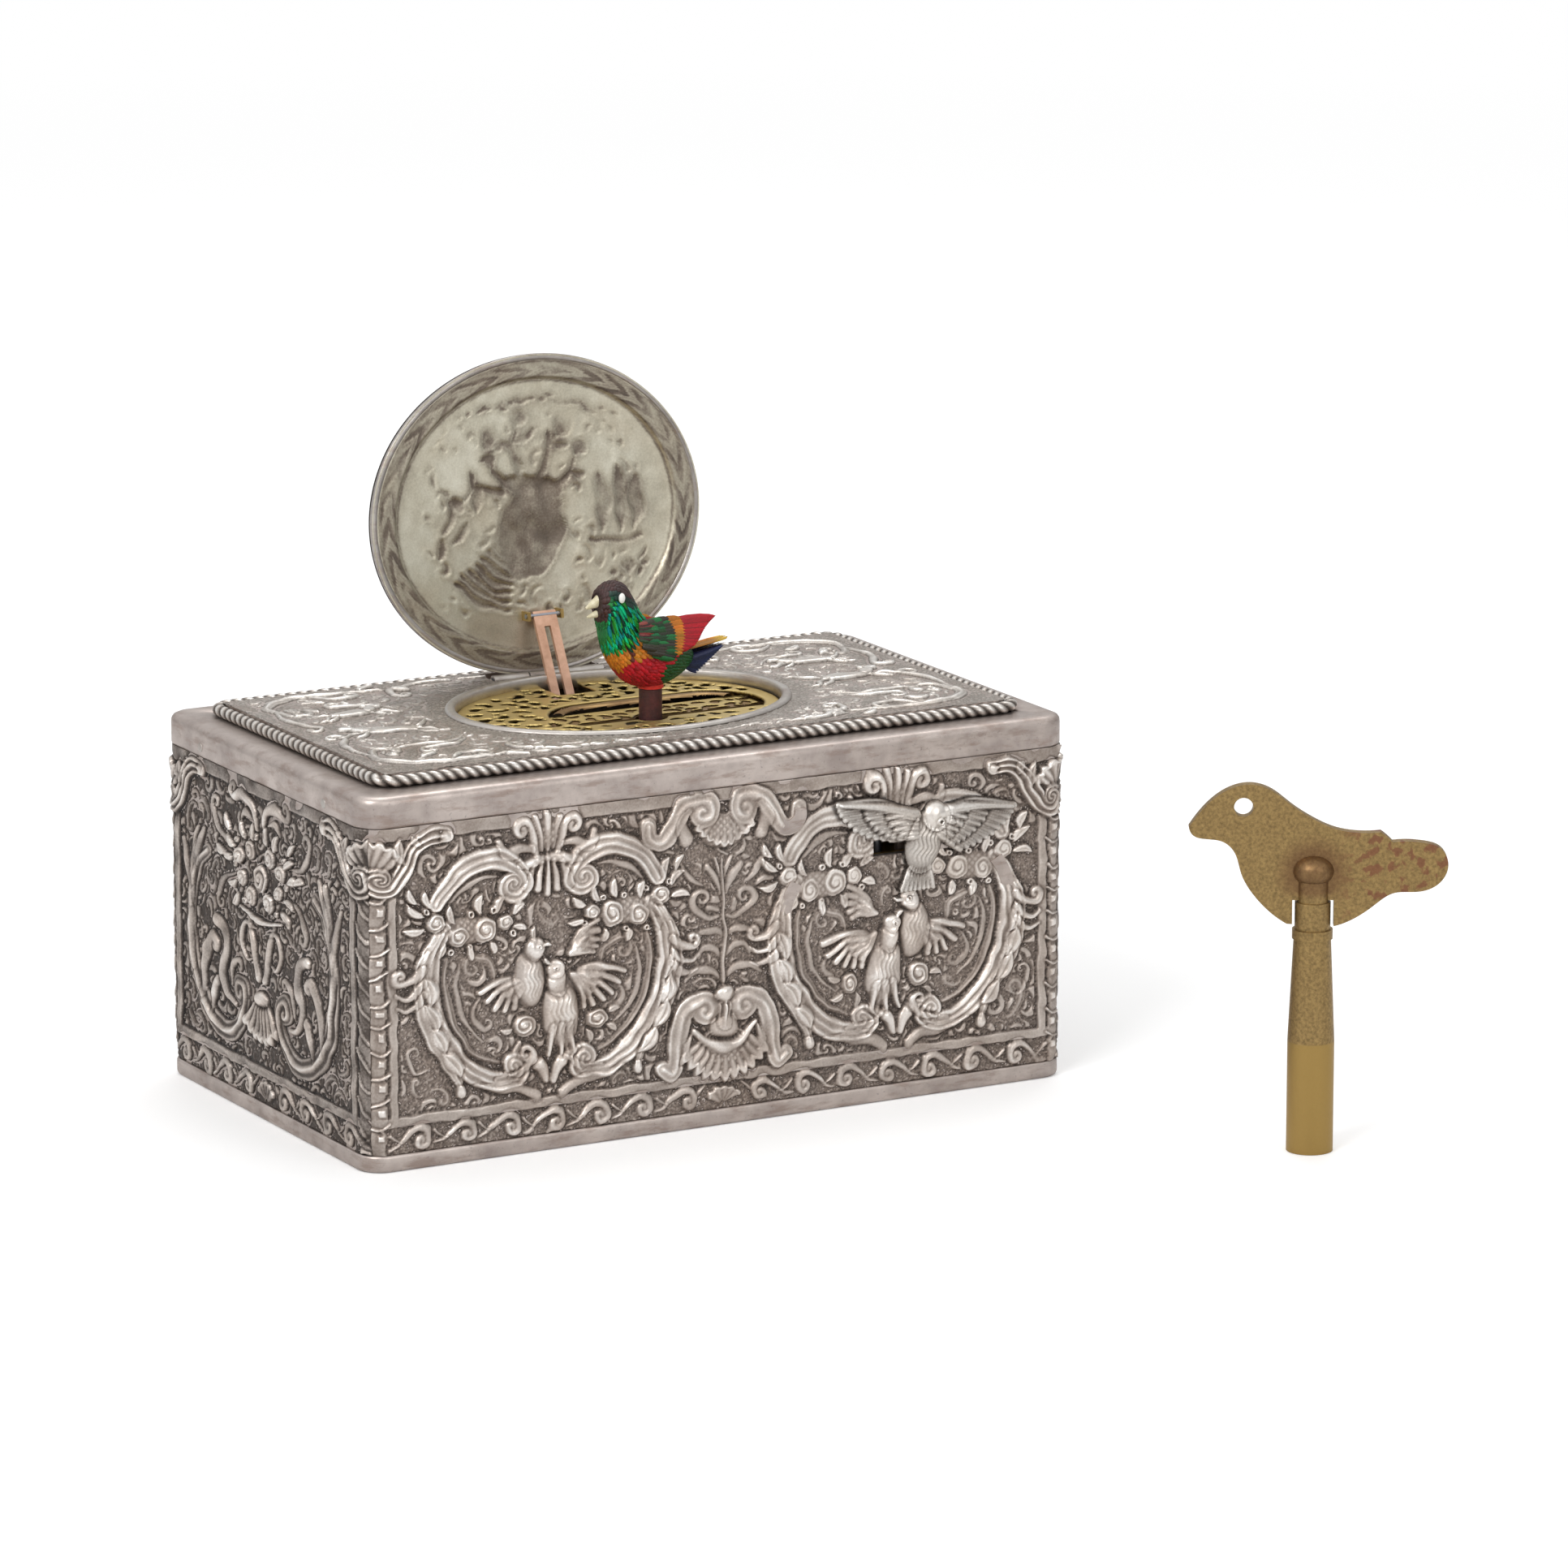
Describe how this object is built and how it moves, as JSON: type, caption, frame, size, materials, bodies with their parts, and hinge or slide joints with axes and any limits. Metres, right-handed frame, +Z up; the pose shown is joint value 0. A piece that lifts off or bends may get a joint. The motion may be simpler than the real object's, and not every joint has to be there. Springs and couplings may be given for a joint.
{
  "type": "singing bird box",
  "caption": "Chased silver box whose oval lid opens as a feathered bird rises through a gilt grille, with its wound movement inside and a loose winding key.",
  "frame": {"origin": "centre of the case's underside, on the face it rests on", "axes": "+X to the right seen from the front, +Y to the back where the lid is hinged, +Z up"},
  "size_m": [0.1244, 0.1133, 0.091],
  "materials": {
    "silver": "chased silver, polished high spots over dark patina",
    "gilt": "gilt, pierced and engraved",
    "brass": "aged brass",
    "steel": "blued and brushed steel",
    "copper": "satin copper",
    "feathers": "glossy feathers",
    "post": "dark lacquer",
    "ivory": "polished bone colour",
    "leather": "thin kid leather",
    "wood": "planed"
  },
  "bodies": {
    "case": {"case_walls": "silver", "base_plate": "silver", "base_moulding": "silver", "slider_guide": "brass", "top_rail": "silver", "rail_pins": "silver", "rope_border": "silver", "top_panel": "silver", "oval_bezel": "silver", "grille": "gilt", "shutter_runners": "brass", "hinge_knuckles": "silver", "hinge_pin": "steel", "lower_plate": "brass", "upper_plate": "brass", "pillars": "brass", "plate_screws": "steel", "foot_screws": "steel", "bird_guide": "brass", "fixed_board": "wood", "bellows_leather": "leather", "whistle_tube": "brass", "whistle_brackets": "brass"},
    "lid": {"lid_shell": "silver", "lid_rim": "silver", "lid_knuckle": "silver", "link_bracket": "gilt", "link_pin": "steel"},
    "link": {"lid_link": "copper"},
    "front_shutter_body": {"front_shutter": "gilt"},
    "rear_shutter_body": {"rear_shutter": "gilt"},
    "bird_carriage": {"bird_post": "post"},
    "bird": {"perch_collar": "feathers", "bird_body": "feathers", "bird_eyes": "ivory", "upper_beak": "ivory"},
    "beak": {"lower_beak": "ivory"},
    "left_wing_body": {"left_wing": "feathers"},
    "right_wing_body": {"right_wing": "feathers"},
    "tail_body": {"tail": "feathers"},
    "slider": {"slider_bird": "silver", "slider_stem": "silver"},
    "winding": {"winding_arbor": "steel", "ratchet_wheel": "steel"},
    "click_body": {"click": "steel"},
    "barrel": {"barrel_drum": "brass", "barrel_cap": "brass", "mainspring": "steel"},
    "cams": {"cam_arbor": "brass", "cam_stack": "brass"},
    "crank": {"crank_arbor": "brass"},
    "rod": {"connecting_rod": "steel"},
    "fly_body": {"fly": "brass"},
    "bellows_board": {"moving_board": "wood"},
    "piston": {"whistle_piston": "brass"},
    "whistle_lever_body": {"whistle_lever": "steel"},
    "bird_lever_body": {"bird_lever": "steel"},
    "stop_lever_body": {"stop_lever": "steel"},
    "key": {"key_bow": "brass", "key_stem": "brass"}
  },
  "joints": [
    {"name": "lid_swing", "type": "hinge", "parent": "case", "child": "lid", "pos_m": [0, 0.019, 0.0492], "axis": [1, 0, 0], "range_deg": [0, 95], "stiffness_Nm_per_rad": 0.002},
    {"name": "link_swing", "type": "hinge", "parent": "lid", "child": "link", "pos_m": [0, 0.01989, 0.05705], "axis": [1, 0, 0], "range_deg": [-67.5, 0]},
    {"name": "bird_lift", "type": "slide", "parent": "case", "child": "bird_carriage", "axis": [0, 0, -1], "range_m": [0, 0.0201]},
    {"name": "front_shutter_slide", "type": "slide", "parent": "case", "child": "front_shutter_body", "axis": [0, -1, 0], "range_m": [0, 0.00865]},
    {"name": "rear_shutter_slide", "type": "slide", "parent": "case", "child": "rear_shutter_body", "axis": [0, 1, 0], "range_m": [0, 0.00865]},
    {"name": "bird_turn", "type": "hinge", "parent": "bird_carriage", "child": "bird", "pos_m": [0.003, -0.004, 0.0516], "axis": [0, 0, 1], "range_deg": [-30, 30]},
    {"name": "beak_open", "type": "hinge", "parent": "bird", "child": "beak", "pos_m": [-0.0036, -0.004, 0.0623], "axis": [0, 1, 0], "range_deg": [-12, 8], "stiffness_Nm_per_rad": 0.00005},
    {"name": "left_wing_flap", "type": "hinge", "parent": "bird", "child": "left_wing_body", "pos_m": [0.0064, -0.0077, 0.0614], "axis": [-1, 0, 0], "range_deg": [0, 25]},
    {"name": "right_wing_flap", "type": "hinge", "parent": "bird", "child": "right_wing_body", "pos_m": [0.0064, -0.0003, 0.0614], "axis": [1, 0, 0], "range_deg": [0, 25]},
    {"name": "tail_flick", "type": "hinge", "parent": "bird", "child": "tail_body", "pos_m": [0.0086, -0.004, 0.0546], "axis": [0, -1, 0], "range_deg": [-10, 12], "stiffness_Nm_per_rad": 0.00005},
    {"name": "slider_start", "type": "slide", "parent": "case", "child": "slider", "axis": [1, 0, 0], "range_m": [-0.0065, 0], "stiffness_N_per_m": 30},
    {"name": "winding_turn", "type": "hinge", "parent": "case", "child": "winding", "pos_m": [0.031, 0.006, 0.006], "axis": [0, 0, 1], "continuous": true},
    {"name": "click_swing", "type": "hinge", "parent": "case", "child": "click_body", "pos_m": [0.02625, 0.01423, 0.006], "axis": [0, 0, 1], "range_deg": [0, 12], "stiffness_Nm_per_rad": 0.0002},
    {"name": "barrel_turn", "type": "hinge", "parent": "case", "child": "barrel", "pos_m": [0.031, 0.006, 0.01], "axis": [0, 0, 1], "continuous": true},
    {"name": "cam_turn", "type": "hinge", "parent": "case", "child": "cams", "pos_m": [0.01409, 0.01216, 0.01], "axis": [0, 0, 1], "continuous": true},
    {"name": "crank_turn", "type": "hinge", "parent": "case", "child": "crank", "pos_m": [-0.00352, 0.0159, 0.01], "axis": [0, 0, 1], "continuous": true},
    {"name": "fly_turn", "type": "hinge", "parent": "case", "child": "fly_body", "pos_m": [-0.01736, 0.01193, 0.01], "axis": [0, 0, 1], "continuous": true},
    {"name": "rod_pivot", "type": "hinge", "parent": "crank", "child": "rod", "pos_m": [-0.00532, 0.0159, 0.0279], "axis": [0, 0, 1], "continuous": true},
    {"name": "bellows_swing", "type": "hinge", "parent": "case", "child": "bellows_board", "pos_m": [-0.0448, -0.02, 0.01], "axis": [0, 0, 1], "range_deg": [-2, 2], "deforming": ["bellows_leather"]},
    {"name": "piston_slide", "type": "slide", "parent": "case", "child": "piston", "axis": [1, 0, 0], "range_m": [-0.006, 0.001]},
    {"name": "whistle_lever_swing", "type": "hinge", "parent": "case", "child": "whistle_lever_body", "pos_m": [0.027, 0.0175, 0.0336], "axis": [0, 0, 1], "range_deg": [-8, 0]},
    {"name": "bird_lever_swing", "type": "hinge", "parent": "case", "child": "bird_lever_body", "pos_m": [0.027, 0.0175, 0.028], "axis": [0, 0, 1], "range_deg": [0, 8]},
    {"name": "stop_lever_swing", "type": "hinge", "parent": "case", "child": "stop_lever_body", "pos_m": [0.018, -0.02, 0.026], "axis": [0, 0, 1], "range_deg": [-8.1, 0]},
    {"name": "key_lift", "type": "slide", "parent": "case", "child": "key", "axis": [0, 0, 1], "range_m": [0, 0.06]}
  ],
  "couplings": [
    {"joint": "link_swing", "follows": "lid_swing", "ratio": -0.70737},
    {"joint": "bird_lift", "follows": "lid_swing", "m_per_rad": 0.012062},
    {"joint": "front_shutter_slide", "follows": "lid_swing", "m_per_rad": 0.0051868},
    {"joint": "rear_shutter_slide", "follows": "lid_swing", "m_per_rad": 0.0051868},
    {"joint": "right_wing_flap", "follows": "left_wing_flap", "ratio": 1},
    {"joint": "cam_turn", "follows": "barrel_turn", "ratio": -4},
    {"joint": "crank_turn", "follows": "barrel_turn", "ratio": 16},
    {"joint": "fly_turn", "follows": "barrel_turn", "ratio": -48},
    {"joint": "rod_pivot", "follows": "barrel_turn", "ratio": -16},
    {"joint": "stop_lever_swing", "follows": "slider_start", "rad_per_m": 21.481}
  ]
}
